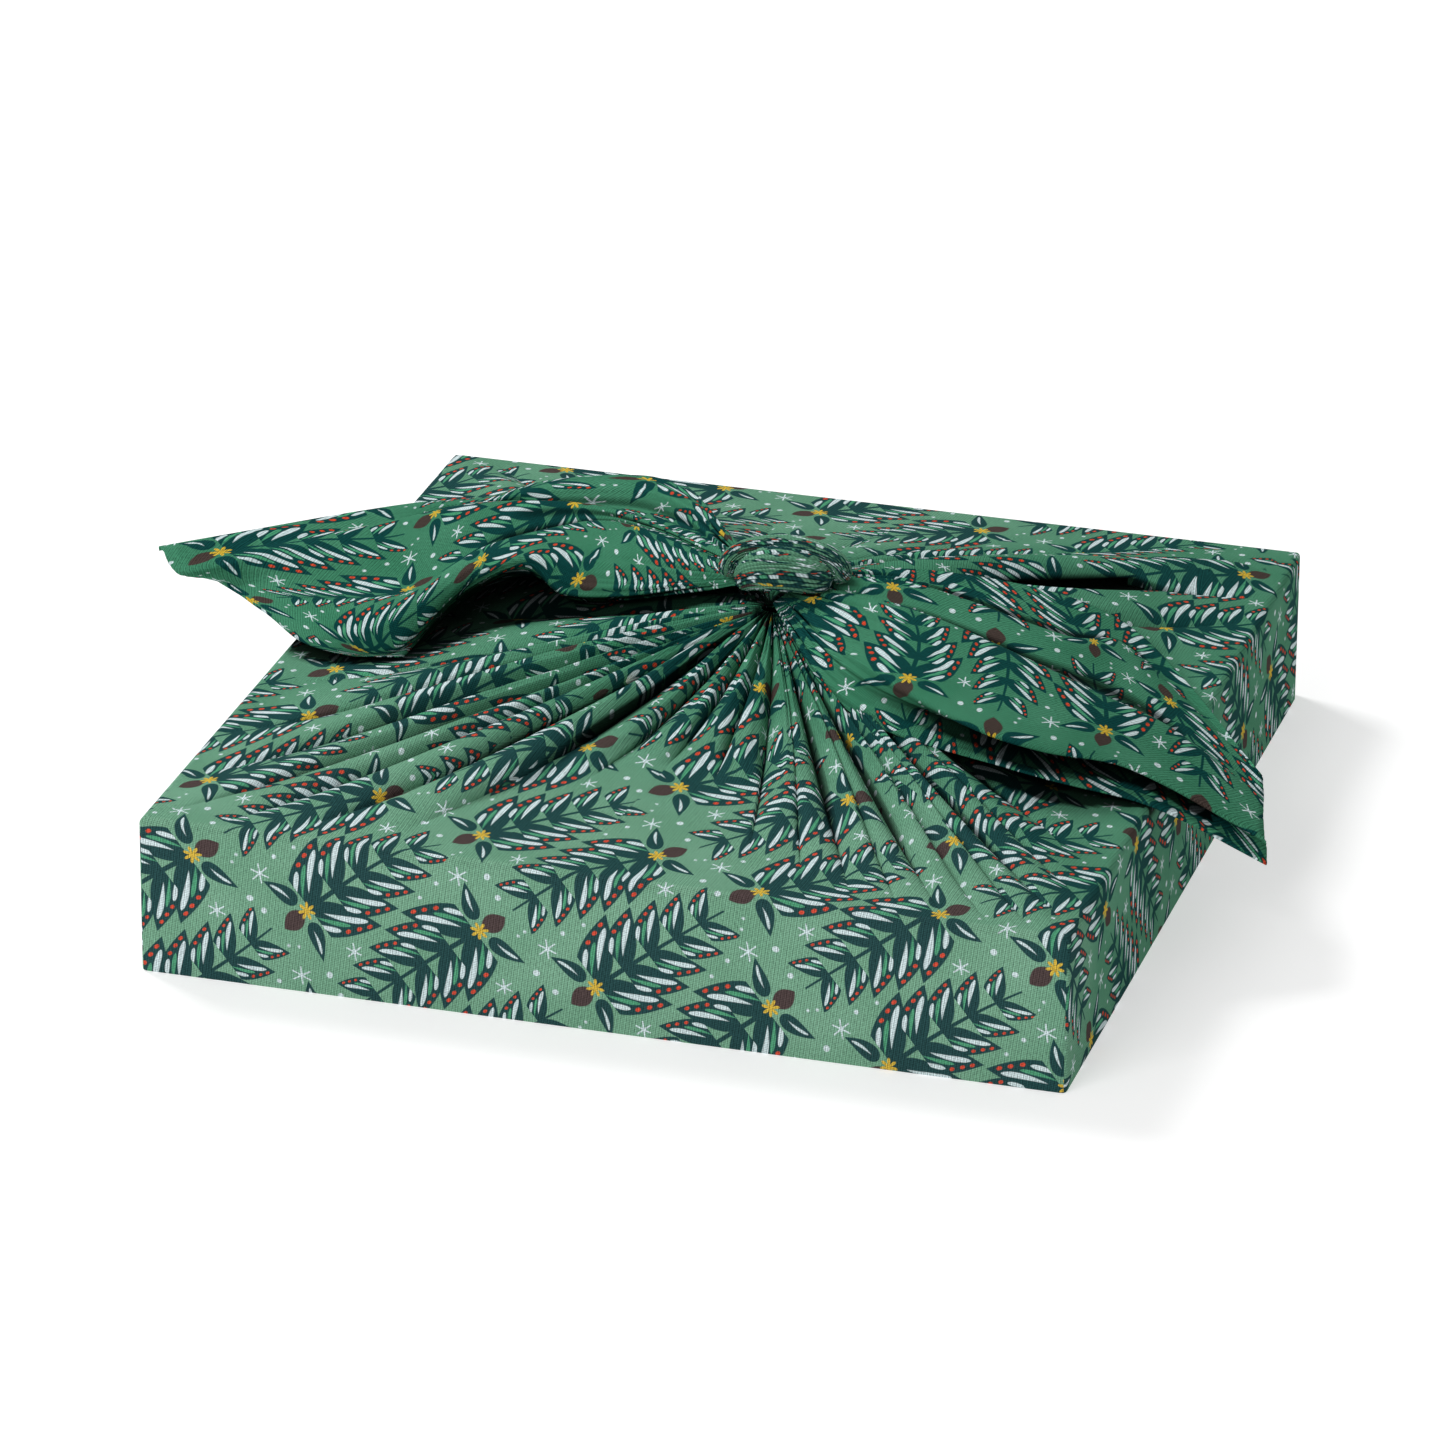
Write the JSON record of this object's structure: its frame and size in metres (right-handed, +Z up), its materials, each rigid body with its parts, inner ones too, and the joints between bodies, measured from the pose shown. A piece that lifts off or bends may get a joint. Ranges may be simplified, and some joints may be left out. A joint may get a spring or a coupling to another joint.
{
  "type": "furoshiki wrap on a gift carton",
  "caption": "Printed square of cloth wrapped over a shallow square carton, its ends knotted on top in a pleated knot with spreading ears.",
  "frame": {"origin": "middle of the parcel's flat underside, where it rests", "axes": "+X along the long front edge towards the drooping ear, +Y from the front face to the back, +Z up through the knot"},
  "size_m": [0.4308, 0.3524, 0.1135],
  "materials": {
    "cloth": "matt printed cotton in green, with leaf sprigs",
    "carton": "plain matt paperboard"
  },
  "bodies": {
    "root": {"cloth": "cloth", "carton": "carton"}
  },
  "joints": []
}
